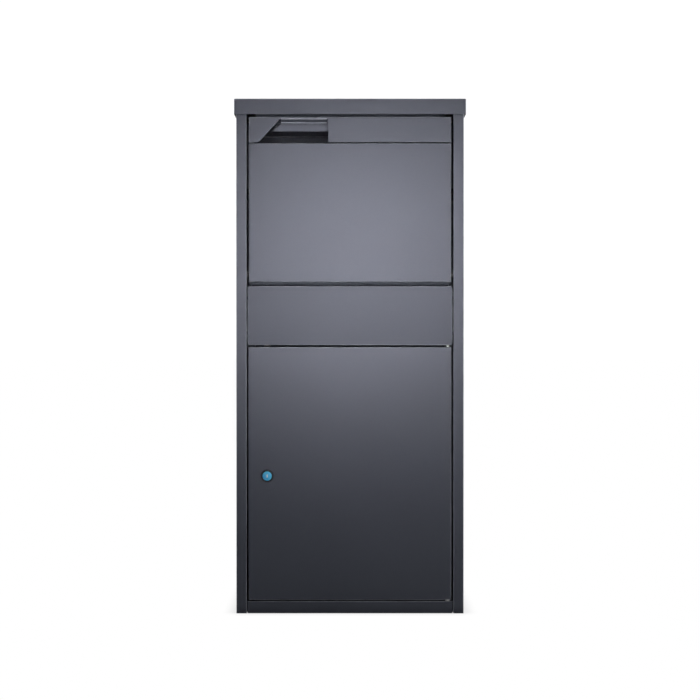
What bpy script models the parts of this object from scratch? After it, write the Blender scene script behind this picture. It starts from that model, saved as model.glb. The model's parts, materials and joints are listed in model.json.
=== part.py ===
"""Parcel drop box: a folded sheet-steel cabinet with a tilting drop hatch above a locked door.

Metres, +Z up. The origin is the bottom centre of the box and the front looks along -Y.
Depths are measured from the front plane towards the back.
"""

import math

import bmesh
import bpy
from mathutils import Vector

# Overall sizes
HEIGHT = 1.000
LID_WIDTH = 0.450
LID_SKIRT = 0.030
LID_OVERHANG = 0.005
BODY_WIDTH = 0.442
BODY_DEPTH = 0.350
SHEET = 0.0012
FIT_GAP = 0.0003

BACK_Y = (BODY_DEPTH + LID_OVERHANG) / 2
FRONT_Y = BACK_Y - BODY_DEPTH
SIDE_X = BODY_WIDTH / 2
SIDE_INNER_X = SIDE_X - SHEET

# Folded posts at the front edges of the side panels
POST_WIDTH = 0.020
POST_DEPTH = 0.022
POST_LIP = 0.013
OPENING_X = SIDE_X - POST_WIDTH
SIDE_TOP = HEIGHT - SHEET - FIT_GAP
REAR_FLANGE = 0.020
REAR_FLANGE_DEPTH = BODY_DEPTH - SHEET - FIT_GAP
TOP_FLANGE_START = 0.024
TOP_FLANGE_END = 0.340

# Heights of the front panels, from the floor up
RAIL_TOP = 0.0235
DOOR_BOTTOM = 0.0264
DOOR_TOP = 0.5183
MIDDLE_BOTTOM = 0.522
MIDDLE_TOP = 0.637
HATCH_BOTTOM = 0.6446
HATCH_TOP = 0.914
STRIP_BOTTOM = 0.916
STRIP_TOP = 0.965

# Half widths of the front panels, all inside the opening between the posts
RAIL_X = 0.1995
DOOR_X = 0.197
MIDDLE_X = 0.1992
HATCH_X = 0.1965
INNER_RETURN_X = 0.1934
PANEL_RETURN = 0.018

# Drip lip folded down from the hatch's bottom return, in front of the gap above the middle panel
DRIP_LIP_X = 0.1945
DRIP_LIP_DEPTH = 0.009
DRIP_LIP_BOTTOM = 0.6397

# Hatch, its side cheeks and its tray. The tray lies level when the hatch is fully open.
HATCH_AXIS_DEPTH = 0.012
HATCH_AXIS_Z = 0.659
HATCH_SWING = math.radians(45)
CHEEK_X = HATCH_X - SHEET - FIT_GAP
CHEEK_RADIUS = 0.295
CHEEK_REAR_ANGLE = math.radians(41.2)
CHEEK_WAIST_RADIUS = 0.110
STOP_TAB_RADII = (0.245, 0.285)
STOP_TAB_X = 0.214
STOP_PAD_X = 0.207
TRAY_X = CHEEK_X - SHEET - FIT_GAP
TRAY_START = (0.010, -0.008)
TRAY_LENGTH = 0.255
TRAY_FLANGE = 0.020
TRAY_HEM = 0.010

# Grip recess in the handle strip above the hatch panel
RECESS_LEFT_LOW = -0.1775
RECESS_LEFT_HIGH = -0.137
RECESS_RIGHT = -0.0424
RECESS_TOP = 0.9610
RECESS_FLANGE = 0.0055
TONGUE_DEPTH = 0.0045
TONGUE_BEND = 0.9550
TONGUE_BOTTOM = 0.9518
GRIP_DEPTH = 0.0085
GRIP_BOTTOM = 0.938
GRIP_LEFT_LOW = -0.1528
GRIP_LEFT_HIGH = -0.1195
GRIP_RIGHT = -0.030
STRIP_BOTTOM_RETURN = 0.0105
STRIP_RETURN = 0.020
STRIP_LIP_X = 0.150
STRIP_LIP = 0.010

# Door hinge line and cam lock
DOOR_AXIS_X = 0.190
DOOR_AXIS_DEPTH = 0.006
DOOR_PIN_RADIUS = 0.003
DOOR_PIN_HOLE = 0.0035
BUTTON_DEPTH = 0.008
LOCK_X = -0.161
LOCK_Z = 0.2675
LOCK_BARREL_RADIUS = 0.0095
LOCK_BEZEL_RADIUS = 0.0125
LOCK_DISC_RADIUS = 0.009
CAM_LENGTH = 0.050
CAM_WIDTH = 0.016
CAM_DEPTHS = (0.024, 0.0265)

# Fasteners
RIVET_RADIUS = 0.002
RIVET_HOLE = 0.0023
STUD_RADIUS = 0.0025
STUD_HOLE = 0.0033
STUD_X = 0.211
STUD_DEPTHS = (0.060, 0.300)
HATCH_PIN_RADIUS = 0.004
HATCH_PIN_HOLE = 0.0043
BUSH_HOLE = 0.006
BUFFER_X = 0.120
BUFFER_Z = 0.9595
MIDDLE_RIVET_HEIGHTS = {"lower": 0.545, "upper": 0.614}
HATCH_RIVET_HEIGHTS = {"lower": 0.700, "middle": 0.880, "upper": 0.935}
RIVET_DEPTH = 0.010
TRAY_RIVETS = {"front": 0.060, "rear": 0.180}
WALL_HOLE_RADIUS = 0.005
FLOOR_HOLE_RADIUS = 0.006

SIDES = {"left": -1, "right": 1}


def clear_scene():
    for obj in list(bpy.data.objects):
        bpy.data.objects.remove(obj, do_unlink=True)


def make_material(name, colour, roughness, metallic):
    material = bpy.data.materials.new(name)
    material.use_nodes = True
    shader = material.node_tree.nodes["Principled BSDF"]
    shader.inputs["Base Color"].default_value = (*colour, 1.0)
    shader.inputs["Roughness"].default_value = roughness
    shader.inputs["Metallic"].default_value = metallic
    material.diffuse_color = (*colour, 1.0)
    return material


def make_pivot(name, place, parent=None):
    """An empty on a joint's axis, which the pieces of one body hang from."""
    pivot = bpy.data.objects.new(name, None)
    bpy.context.scene.collection.objects.link(pivot)
    pivot.empty_display_size = 0.05
    pivot.location = Vector(place) - world_of(parent)
    pivot.parent = parent
    return pivot


def world_of(pivot):
    """World place of a pivot, or the origin for none."""
    place = Vector()
    while pivot:
        place += pivot.location
        pivot = pivot.parent
    return place


def add_object(name, mesh_data, pivot, material):
    obj = bpy.data.objects.new(name, mesh_data)
    bpy.context.scene.collection.objects.link(obj)
    obj.parent = pivot
    if material:
        mesh_data.materials.clear()
        mesh_data.materials.append(material)
    return obj


def at(x, depth, z):
    """A world point from a depth behind the front plane."""
    return Vector((x, FRONT_Y + depth, z))


def from_hatch_axis(x, back, up):
    """A world point from its place behind and above the hatch's hinge line."""
    return at(x, HATCH_AXIS_DEPTH + back, HATCH_AXIS_Z + up)


def ribbon(first_line, second_line):
    """The four-sided faces between two lines of as many points."""
    pairs = list(zip(first_line, second_line))
    return [[a, b, d, c] for (a, c), (b, d) in zip(pairs, pairs[1:])]


def pushed_back(line, depth):
    return [Vector(point) + Vector((0, depth, 0)) for point in line]


def add_sheet(name, faces, facing, pivot, material, thickness=SHEET):
    """A folded sheet. The faces are its outer side, the first one looks along facing."""
    work = bmesh.new()
    for face in faces:
        work.faces.new([work.verts.new(point) for point in face])
    bmesh.ops.remove_doubles(work, verts=work.verts, dist=0.00001)
    bmesh.ops.recalc_face_normals(work, faces=work.faces)
    work.faces.ensure_lookup_table()
    work.normal_update()
    if work.faces[0].normal.dot(Vector(facing)) < 0:
        bmesh.ops.reverse_faces(work, faces=work.faces)
    bmesh.ops.translate(work, vec=-world_of(pivot), verts=work.verts)
    mesh_data = bpy.data.meshes.new(name)
    work.to_mesh(mesh_data)
    work.free()
    sheet = add_object(name, mesh_data, pivot, material)
    solid = sheet.modifiers.new("sheet_thickness", "SOLIDIFY")
    solid.thickness = thickness
    solid.solidify_mode = "NON_MANIFOLD"
    solid.nonmanifold_thickness_mode = "CONSTRAINTS"
    solid.offset = -1
    return sheet


def turned_mesh(name, profile, steps=24):
    """A lathe-turned solid about Z from (radius, height) points that run round its section."""
    work = bmesh.new()
    points = [work.verts.new((radius, 0, height)) for radius, height in profile]
    ring = list(zip(points, points[1:]))
    if profile[0][0] > 0:
        ring.append((points[-1], points[0]))
    edges = [work.edges.new(pair) for pair in ring]
    bmesh.ops.spin(
        work,
        geom=points + edges,
        cent=(0, 0, 0),
        axis=(0, 0, 1),
        angle=2 * math.pi,
        steps=steps,
        use_merge=True,
    )
    bmesh.ops.remove_doubles(work, verts=work.verts, dist=0.00001)
    bmesh.ops.recalc_face_normals(work, faces=work.faces)
    mesh_data = bpy.data.meshes.new(name)
    work.to_mesh(mesh_data)
    work.free()
    mesh_data.shade_smooth()
    mesh_data.set_sharp_from_angle(angle=math.radians(35))
    return mesh_data


def place_turned(name, mesh_data, place, direction, pivot, material):
    """Stands a turned piece at a world point, with its own +Z along direction."""
    piece = add_object(name, mesh_data, pivot, material)
    piece.location = Vector(place) - world_of(pivot)
    piece.rotation_mode = "QUATERNION"
    piece.rotation_quaternion = Vector(direction).to_track_quat("Z", "Y")
    return piece


def add_prism(name, outline, direction, length, pivot, material):
    """A plate of straight sides: the outline's world points, pushed along direction by length."""
    work = bmesh.new()
    base = work.faces.new([work.verts.new(point) for point in outline])
    top = bmesh.ops.extrude_face_region(work, geom=[base])["geom"]
    moved = [item for item in top if isinstance(item, bmesh.types.BMVert)]
    bmesh.ops.translate(work, vec=Vector(direction) * length, verts=moved)
    bmesh.ops.recalc_face_normals(work, faces=work.faces)
    bmesh.ops.translate(work, vec=-world_of(pivot), verts=work.verts)
    mesh_data = bpy.data.meshes.new(name)
    work.to_mesh(mesh_data)
    work.free()
    return add_object(name, mesh_data, pivot, material)


def add_rods(name, rods, steps=16):
    """Hidden cylinders for a cut or a union. Each rod is (start, direction, radius, length)."""
    work = bmesh.new()
    for start, direction, radius, length in rods:
        rod = bmesh.ops.create_cone(
            work,
            cap_ends=True,
            segments=steps,
            radius1=radius,
            radius2=radius,
            depth=length,
        )["verts"]
        turn = Vector(direction).to_track_quat("Z", "Y").to_matrix().to_4x4()
        bmesh.ops.transform(work, matrix=turn, verts=rod)
        centre = Vector(start) + Vector(direction) * (length / 2)
        bmesh.ops.translate(work, vec=centre, verts=rod)
    mesh_data = bpy.data.meshes.new(name)
    work.to_mesh(mesh_data)
    work.free()
    return hide_helper(add_object(name, mesh_data, None, None))


def hide_helper(helper):
    helper.hide_render = True
    helper.display_type = "WIRE"
    return helper


def combine(piece, helper, operation="DIFFERENCE"):
    boolean = piece.modifiers.new(helper.name, "BOOLEAN")
    boolean.object = helper
    boolean.operation = operation
    boolean.solver = "EXACT"


def drill(piece, rods):
    combine(piece, add_rods(f"{piece.name}_holes", rods))


def add_side_panel(side, sign, pivot, material):
    """One side wall with its front post, rear flange and top flange folded from one sheet."""
    plan = [
        (OPENING_X + POST_LIP, POST_DEPTH),
        (OPENING_X, POST_DEPTH),
        (OPENING_X, 0),
        (SIDE_X, 0),
        (SIDE_X, TOP_FLANGE_START),
        (SIDE_X, TOP_FLANGE_END),
        (SIDE_X, REAR_FLANGE_DEPTH),
        (SIDE_X - REAR_FLANGE, REAR_FLANGE_DEPTH),
    ]
    bottom = [at(sign * x, depth, 0) for x, depth in plan]
    top = [at(sign * x, depth, SIDE_TOP) for x, depth in plan]
    flange = [
        at(sign * SIDE_X, TOP_FLANGE_START, SIDE_TOP),
        at(sign * SIDE_X, TOP_FLANGE_END, SIDE_TOP),
        at(sign * OPENING_X, TOP_FLANGE_END, SIDE_TOP),
        at(sign * OPENING_X, TOP_FLANGE_START, SIDE_TOP),
    ]
    faces = ribbon(bottom, top) + [flange]
    panel = add_sheet(f"{side}_side_panel", faces, (0, 1, 0), pivot, material)
    start = sign * (OPENING_X - 0.001)
    outward = (sign, 0, 0)
    holes = [(at(start, HATCH_AXIS_DEPTH, HATCH_AXIS_Z), outward, BUSH_HOLE, 0.004)]
    for z in MIDDLE_RIVET_HEIGHTS.values():
        holes.append((at(start, RIVET_DEPTH, z), outward, RIVET_HOLE, 0.004))
    for depth in STUD_DEPTHS:
        holes.append((at(sign * STUD_X, depth, SIDE_TOP - 0.004), (0, 0, 1), STUD_HOLE, 0.008))
    drill(panel, holes)


def add_back_panel(pivot, material):
    """The back sheet laps over the side panels' flanges. Its joggled top tucks in behind the lid."""
    edge_x = SIDE_X - FIT_GAP
    joggle_x = 0.198
    joggle = SHEET + FIT_GAP
    flat_top = HEIGHT - LID_SKIRT - 0.002
    columns = [-edge_x, -joggle_x, joggle_x, edge_x]
    low = [Vector((x, BACK_Y, 0)) for x in columns]
    high = [Vector((x, BACK_Y, flat_top)) for x in columns]
    step = [Vector((x, BACK_Y - joggle, flat_top + joggle)) for x in columns[1:3]]
    crest = [Vector((x, BACK_Y - joggle, HEIGHT - 0.010)) for x in columns[1:3]]
    faces = ribbon(low, high) + ribbon(high[1:3], step) + ribbon(step, crest)
    panel = add_sheet("back_panel", faces, (0, 1, 0), pivot, material)
    places = [Vector((x, BACK_Y - 0.003, z)) for x in (-0.150, 0.150) for z in (0.120, 0.880)]
    drill(panel, [(place, (0, 1, 0), WALL_HOLE_RADIUS, 0.006) for place in places])


def add_floor_pan(pivot, material):
    """Floor, front rail and upturned flanges, folded from one sheet."""
    wide_x = SIDE_INNER_X - FIT_GAP
    rear = REAR_FLANGE_DEPTH - SHEET - FIT_GAP
    flange = 0.020
    columns = [-wide_x, -RAIL_X, RAIL_X, wide_x]
    front_row = [at(x, TOP_FLANGE_START, 0) for x in columns]
    rear_row = [at(x, rear, 0) for x in columns]
    rail_profile = [
        (POST_DEPTH, RAIL_TOP / 2),
        (POST_DEPTH, RAIL_TOP),
        (0, RAIL_TOP),
        (0, 0),
        (TOP_FLANGE_START, 0),
    ]
    rail_left = [at(-RAIL_X, depth, z) for depth, z in rail_profile]
    rail_right = [at(RAIL_X, depth, z) for depth, z in rail_profile]
    rim = [front_row[0], rear_row[0], *rear_row[1:], front_row[3]]
    raised_rim = [point + Vector((0, 0, flange)) for point in rim]
    faces = ribbon(front_row, rear_row)
    faces += ribbon(rail_left, rail_right)
    faces += ribbon(rim, raised_rim)
    pan = add_sheet("floor_pan", faces, (0, 0, -1), pivot, material)
    anchors = [Vector((x, y, -0.002)) for x in (-0.150, 0.150) for y in (-0.100, 0.110)]
    holes = [(place, (0, 0, 1), FLOOR_HOLE_RADIUS, 0.006) for place in anchors]
    pin = at(DOOR_AXIS_X, DOOR_AXIS_DEPTH, RAIL_TOP - 0.003)
    holes.append((pin, (0, 0, 1), DOOR_PIN_HOLE, 0.006))
    drill(pan, holes)


def add_roof(pivot, material, nut_material):
    """Lid with a skirt on all sides, held by weld studs and nuts under the side flanges."""
    half = LID_WIDTH / 2
    front = FRONT_Y - LID_OVERHANG
    corners = [(-half, front), (half, front), (half, BACK_Y), (-half, BACK_Y)]
    top = [Vector((x, y, HEIGHT)) for x, y in corners]
    low = [Vector((x, y, HEIGHT - LID_SKIRT)) for x, y in corners]
    faces = [top] + ribbon(top + top[:1], low + low[:1])
    roof = add_sheet("roof_cap", faces, (0, 0, 1), pivot, material)
    stud_length = 0.0145
    stud_base = HEIGHT - SHEET / 2
    places = [at(sign * STUD_X, d, stud_base) for sign in (-1, 1) for d in STUD_DEPTHS]
    studs = [(place, (0, 0, -1), STUD_RADIUS, stud_length) for place in places]
    combine(roof, add_rods("roof_studs", studs), "UNION")
    nut_top = SIDE_TOP - SHEET - FIT_GAP
    nut_height = 0.0045
    hexagon = [math.radians(60 * corner) for corner in range(6)]
    for side, sign in SIDES.items():
        for end, depth in zip(("front", "rear"), STUD_DEPTHS):
            name = f"roof_nut_{end}_{side}"
            centre = at(sign * STUD_X, depth, nut_top - nut_height)
            across = [Vector((math.cos(a), math.sin(a), 0)) * 0.0046 for a in hexagon]
            outline = [centre + spoke for spoke in across]
            nut = add_prism(name, outline, (0, 0, 1), nut_height, pivot, nut_material)
            below = centre - Vector((0, 0, 0.001))
            drill(nut, [(below, (0, 0, 1), STUD_RADIUS + FIT_GAP, 0.008)])


def add_header_rail(pivot, material, rubber):
    """Angle under the lid's front edge. Its buffers stop the closing hatch."""
    leg_x = 0.185
    front = 0.010
    rear = 0.027
    columns = [-OPENING_X + 0.0005, -leg_x, leg_x, OPENING_X - 0.0005]
    fore = [at(x, front, SIDE_TOP) for x in columns]
    aft = [at(x, rear, SIDE_TOP) for x in columns]
    foot = [at(x, rear, 0.950) for x in columns[1:3]]
    faces = ribbon(fore, aft) + ribbon(aft[1:3], foot)
    rail = add_sheet("header_rail", faces, (0, 0, 1), pivot, material)
    places = [at(sign * BUFFER_X, rear - 0.003, BUFFER_Z) for sign in (-1, 1)]
    drill(rail, [(place, (0, 1, 0), RIVET_HOLE, 0.006) for place in places])
    tip = STRIP_RETURN + FIT_GAP
    seat = rear - SHEET - FIT_GAP - tip
    end = rear + 0.002 - tip
    profile = [(0, 0), (0.0035, 0), (0.0045, 0.001), (0.0045, seat), (0.002, seat), (0.002, end), (0, end)]
    mesh_data = turned_mesh("hatch_buffer", profile)
    for side, sign in SIDES.items():
        place = at(sign * BUFFER_X, tip, BUFFER_Z)
        place_turned(f"hatch_buffer_{side}", mesh_data, place, (0, 1, 0), pivot, rubber)


def add_middle_panel(pivot, material):
    """Fixed panel between hatch and door, stiffened by lips folded from its top and bottom flanges."""
    relief = 0.003
    flange_x = MIDDLE_X - relief
    lip = 0.012
    outline = [
        (-MIDDLE_X, MIDDLE_BOTTOM),
        (-flange_x, MIDDLE_BOTTOM),
        (flange_x, MIDDLE_BOTTOM),
        (MIDDLE_X, MIDDLE_BOTTOM),
        (MIDDLE_X, MIDDLE_BOTTOM + relief),
        (MIDDLE_X, MIDDLE_TOP - relief),
        (MIDDLE_X, MIDDLE_TOP),
        (flange_x, MIDDLE_TOP),
        (-flange_x, MIDDLE_TOP),
        (-MIDDLE_X, MIDDLE_TOP),
        (-MIDDLE_X, MIDDLE_TOP - relief),
        (-MIDDLE_X, MIDDLE_BOTTOM + relief),
    ]
    faces = [[at(x, 0, z) for x, z in outline]]
    top_profile = [
        (0, MIDDLE_TOP),
        (POST_DEPTH, MIDDLE_TOP),
        (POST_DEPTH, MIDDLE_TOP - lip),
    ]
    bottom_profile = [
        (0, MIDDLE_BOTTOM),
        (POST_DEPTH, MIDDLE_BOTTOM),
        (POST_DEPTH, MIDDLE_BOTTOM + lip),
    ]
    for profile in (top_profile, bottom_profile):
        left = [at(-flange_x, depth, z) for depth, z in profile]
        right = [at(flange_x, depth, z) for depth, z in profile]
        faces += ribbon(left, right)
    for sign in (-1, 1):
        heights = (MIDDLE_BOTTOM + relief, MIDDLE_TOP - relief)
        edge = [at(sign * MIDDLE_X, 0, z) for z in heights]
        faces += ribbon(edge, pushed_back(edge, PANEL_RETURN))
    panel = add_sheet("middle_panel", faces, (0, -1, 0), pivot, material)
    pin = at(DOOR_AXIS_X, DOOR_AXIS_DEPTH, MIDDLE_BOTTOM - 0.002)
    button = at(LOCK_X, BUTTON_DEPTH, MIDDLE_BOTTOM - 0.002)
    holes = [(pin, (0, 0, 1), DOOR_PIN_HOLE, 0.006), (button, (0, 0, 1), 0.0028, 0.006)]
    for sign in (-1, 1):
        for z in MIDDLE_RIVET_HEIGHTS.values():
            start = at(sign * (MIDDLE_X - 0.003), RIVET_DEPTH, z)
            holes.append((start, (sign, 0, 0), RIVET_HOLE, 0.005))
    drill(panel, holes)


def add_middle_rivets(pivot, material):
    """Rivets from the middle panel's side flanges into the posts, each with a spacer shoulder."""
    start = MIDDLE_X - SHEET - FIT_GAP
    post_face = OPENING_X - FIT_GAP - start
    post_back = OPENING_X + SHEET + FIT_GAP - start
    panel_face = MIDDLE_X + FIT_GAP - start
    profile = [
        (0, -0.0015),
        (0.0030, -0.0015),
        (0.0040, 0),
        (RIVET_RADIUS, 0),
        (RIVET_RADIUS, panel_face),
        (0.0032, panel_face),
        (0.0032, post_face),
        (RIVET_RADIUS, post_face),
        (RIVET_RADIUS, post_back),
        (0.0032, post_back),
        (0.0024, post_back + 0.0012),
        (0, post_back + 0.0012),
    ]
    mesh_data = turned_mesh("middle_rivet", profile, steps=12)
    for side, sign in SIDES.items():
        for level, z in MIDDLE_RIVET_HEIGHTS.items():
            place = at(sign * start, RIVET_DEPTH, z)
            name = f"middle_rivet_{side}_{level}"
            place_turned(name, mesh_data, place, (sign, 0, 0), pivot, material)


def add_rear_guard(pivot, material):
    """Sloped plate on the back wall that closes the slot behind the level tray."""
    half = 0.200
    wall = REAR_FLANGE_DEPTH
    profile = [(wall, 0.730), (wall, 0.700), (0.290, 0.652), (0.290, 0.640)]
    left = [at(-half, depth, z) for depth, z in profile]
    right = [at(half, depth, z) for depth, z in profile]
    add_sheet("rear_guard_plate", ribbon(left, right), (0, 1, 0), pivot, material)


def add_hatch_bushes(pivot, material):
    flange_face = 0.1992
    seat = OPENING_X - FIT_GAP - flange_face
    end = 0.206 - flange_face
    body = BUSH_HOLE - FIT_GAP
    bore = HATCH_PIN_HOLE
    profile = [(bore, 0), (0.0075, 0), (0.0075, seat), (body, seat), (body, end), (bore, end)]
    mesh_data = turned_mesh("hatch_bush", profile)
    for side, sign in SIDES.items():
        place = at(sign * flange_face, HATCH_AXIS_DEPTH, HATCH_AXIS_Z)
        place_turned(f"hatch_bush_{side}", mesh_data, place, (sign, 0, 0), pivot, material)


def add_door_pivots(pivot, steel, nylon):
    """Two headed pins on the door's hinge line, the washer it rests on, and a glide button."""
    radius = DOOR_PIN_RADIUS
    head = 0.0043
    head_height = 0.0015
    into_flange = SHEET + FIT_GAP
    into_door = 0.010
    lower_start = RAIL_TOP - into_flange
    lower_length = DOOR_BOTTOM + into_door - lower_start
    upper_start = MIDDLE_BOTTOM + into_flange
    upper_length = upper_start - DOOR_TOP + into_door
    starts = {
        "lower": (lower_start, lower_length, (0, 0, 1)),
        "upper": (upper_start, upper_length, (0, 0, -1)),
    }
    for level, (z, length, direction) in starts.items():
        profile = [
            (0, -head_height),
            (head, -head_height),
            (head, 0),
            (radius, 0),
            (radius, length - 0.001),
            (radius - 0.001, length),
            (0, length),
        ]
        name = f"door_pivot_pin_{level}"
        place = at(DOOR_AXIS_X, DOOR_AXIS_DEPTH, z)
        place_turned(name, turned_mesh(name, profile), place, direction, pivot, steel)
    washer_height = DOOR_BOTTOM - RAIL_TOP - 2 * FIT_GAP
    bore = radius + FIT_GAP
    ring = [(bore, 0), (0.0045, 0), (0.0045, washer_height), (bore, washer_height)]
    place = at(DOOR_AXIS_X, DOOR_AXIS_DEPTH, RAIL_TOP + FIT_GAP)
    washer = turned_mesh("door_pivot_washer", ring)
    place_turned("door_pivot_washer", washer, place, (0, 0, 1), pivot, steel)
    head_top = MIDDLE_BOTTOM - FIT_GAP
    cap_height = 0.0026
    button = [
        (0, 0),
        (0.0048, 0),
        (0.0060, 0.0010),
        (0.0060, cap_height),
        (0.0025, cap_height),
        (0.0025, cap_height + 0.004),
        (0, cap_height + 0.004),
    ]
    place = at(LOCK_X, BUTTON_DEPTH, head_top - cap_height)
    mesh_data = turned_mesh("door_glide_button", button)
    place_turned("door_glide_button", mesh_data, place, (0, 0, 1), pivot, nylon)


def add_hatch_panel(pivot, material):
    """Main face of the hatch: returns at the sides, a narrower one on top, and a drip lip below."""
    outline = [
        (-HATCH_X, HATCH_BOTTOM),
        (HATCH_X, HATCH_BOTTOM),
        (HATCH_X, HATCH_TOP),
        (INNER_RETURN_X, HATCH_TOP),
        (-INNER_RETURN_X, HATCH_TOP),
        (-HATCH_X, HATCH_TOP),
    ]
    front = [at(x, 0, z) for x, z in outline]
    above = [front[3], front[4]]
    faces = [front]
    faces += ribbon(above, pushed_back(above, PANEL_RETURN))
    lip_corners = []
    for low, high in ((front[0], front[5]), (front[1], front[2])):
        corner = pushed_back([low], DRIP_LIP_DEPTH)[0]
        rear = pushed_back([low, high], PANEL_RETURN)
        faces += [[high, low, corner, *rear]]
        lip_corners.append(corner)
    lip_root = [at(x, DRIP_LIP_DEPTH, HATCH_BOTTOM) for x in (-DRIP_LIP_X, DRIP_LIP_X)]
    lip_tip = [at(x, DRIP_LIP_DEPTH, DRIP_LIP_BOTTOM) for x in (-DRIP_LIP_X, DRIP_LIP_X)]
    faces += [[*front[:2], lip_corners[1], *reversed(lip_root), lip_corners[0]]]
    faces += ribbon(lip_root, lip_tip)
    panel = add_sheet("hatch_panel", faces, (0, -1, 0), pivot, material)
    holes = []
    for sign in (-1, 1):
        start = sign * (HATCH_X - 0.003)
        outward = (sign, 0, 0)
        holes.append((at(start, HATCH_AXIS_DEPTH, HATCH_AXIS_Z), outward, HATCH_PIN_HOLE, 0.006))
        for level in ("lower", "middle"):
            rivet = at(start, RIVET_DEPTH, HATCH_RIVET_HEIGHTS[level])
            holes.append((rivet, outward, RIVET_HOLE, 0.006))
    drill(panel, holes)


def add_handle_strip(pivot, material):
    """Top strip of the hatch. Its slanted notch is the grip, under a tongue folded inwards."""
    relief = 0.003
    notch_low = Vector((RECESS_LEFT_LOW, STRIP_BOTTOM))
    notch_high = Vector((RECESS_LEFT_HIGH, RECESS_TOP))
    along = (notch_high - notch_low).normalized()
    tongue_x = (RECESS_LEFT_HIGH + relief, RECESS_RIGHT - relief)
    return_start = RECESS_RIGHT + relief
    outline = {
        "left_low": (-HATCH_X, STRIP_BOTTOM),
        "notch_low": notch_low,
        "flange_low": notch_low + along * relief,
        "flange_high": notch_high - along * relief,
        "notch_high": notch_high,
        "tongue_left": (tongue_x[0], RECESS_TOP),
        "tongue_right": (tongue_x[1], RECESS_TOP),
        "notch_right": (RECESS_RIGHT, RECESS_TOP),
        "notch_foot": (RECESS_RIGHT, STRIP_BOTTOM),
        "return_left": (return_start, STRIP_BOTTOM),
        "return_right": (INNER_RETURN_X, STRIP_BOTTOM),
        "right_low": (HATCH_X, STRIP_BOTTOM),
        "right_high": (HATCH_X, STRIP_TOP),
        "lip_right": (STRIP_LIP_X, STRIP_TOP),
        "lip_left": (-STRIP_LIP_X, STRIP_TOP),
        "left_high": (-HATCH_X, STRIP_TOP),
    }
    spot = {name: at(x, 0, z) for name, (x, z) in outline.items()}
    around = ["right_low", "right_high", "lip_right", "lip_left", "left_high", "left_low"]
    above = [spot[name] for name in around]
    behind = pushed_back(above, STRIP_RETURN)
    lip_top = behind[2:4]
    lip_foot = [point - Vector((0, 0, STRIP_LIP)) for point in lip_top]
    below = [spot["return_left"], spot["return_right"]]
    slanted = [spot["flange_low"], spot["flange_high"]]
    tongue_root = [spot["tongue_left"], spot["tongue_right"]]
    tongue_bend = [at(x, TONGUE_DEPTH, TONGUE_BEND) for x in tongue_x]
    tongue_tip = [at(x, TONGUE_DEPTH, TONGUE_BOTTOM) for x in tongue_x]
    faces = [list(spot.values())]
    faces += ribbon(above, behind)
    faces += ribbon(lip_top, lip_foot)
    faces += ribbon(below, pushed_back(below, STRIP_BOTTOM_RETURN))
    faces += ribbon(slanted, pushed_back(slanted, RECESS_FLANGE))
    faces += ribbon(tongue_root, tongue_bend)
    faces += ribbon(tongue_bend, tongue_tip)
    strip = add_sheet("hatch_handle_strip", faces, (0, -1, 0), pivot, material)
    holes = []
    for sign in (-1, 1):
        start = at(sign * (HATCH_X - 0.003), RIVET_DEPTH, HATCH_RIVET_HEIGHTS["upper"])
        holes.append((start, (sign, 0, 0), RIVET_HOLE, 0.006))
    drill(strip, holes)


def add_grip_plate(pivot, material):
    """Angle behind the tongue. Fingers reach in under its lower edge."""
    top = STRIP_TOP - SHEET - FIT_GAP
    rear = STRIP_RETURN - SHEET - 2 * FIT_GAP
    front = [
        at(GRIP_LEFT_HIGH, GRIP_DEPTH, top),
        at(GRIP_LEFT_LOW, GRIP_DEPTH, GRIP_BOTTOM),
        at(GRIP_RIGHT, GRIP_DEPTH, GRIP_BOTTOM),
        at(GRIP_RIGHT, GRIP_DEPTH, top),
    ]
    crown = [front[0], front[3]]
    behind = [at(GRIP_LEFT_HIGH, rear, top), at(GRIP_RIGHT, rear, top)]
    faces = [front] + ribbon(crown, behind)
    add_sheet("hatch_grip_plate", faces, (0, -1, 0), pivot, material)


def tray_point(along, above):
    """Place behind and above the hinge line of a point on the tray, at rest."""
    slope = HATCH_SWING
    back = TRAY_START[0] + along * math.cos(slope) + above * math.sin(slope)
    up = TRAY_START[1] - along * math.sin(slope) + above * math.cos(slope)
    return back, up


def on_circle(radius, angle):
    return radius * math.cos(angle), radius * math.sin(angle)


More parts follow.
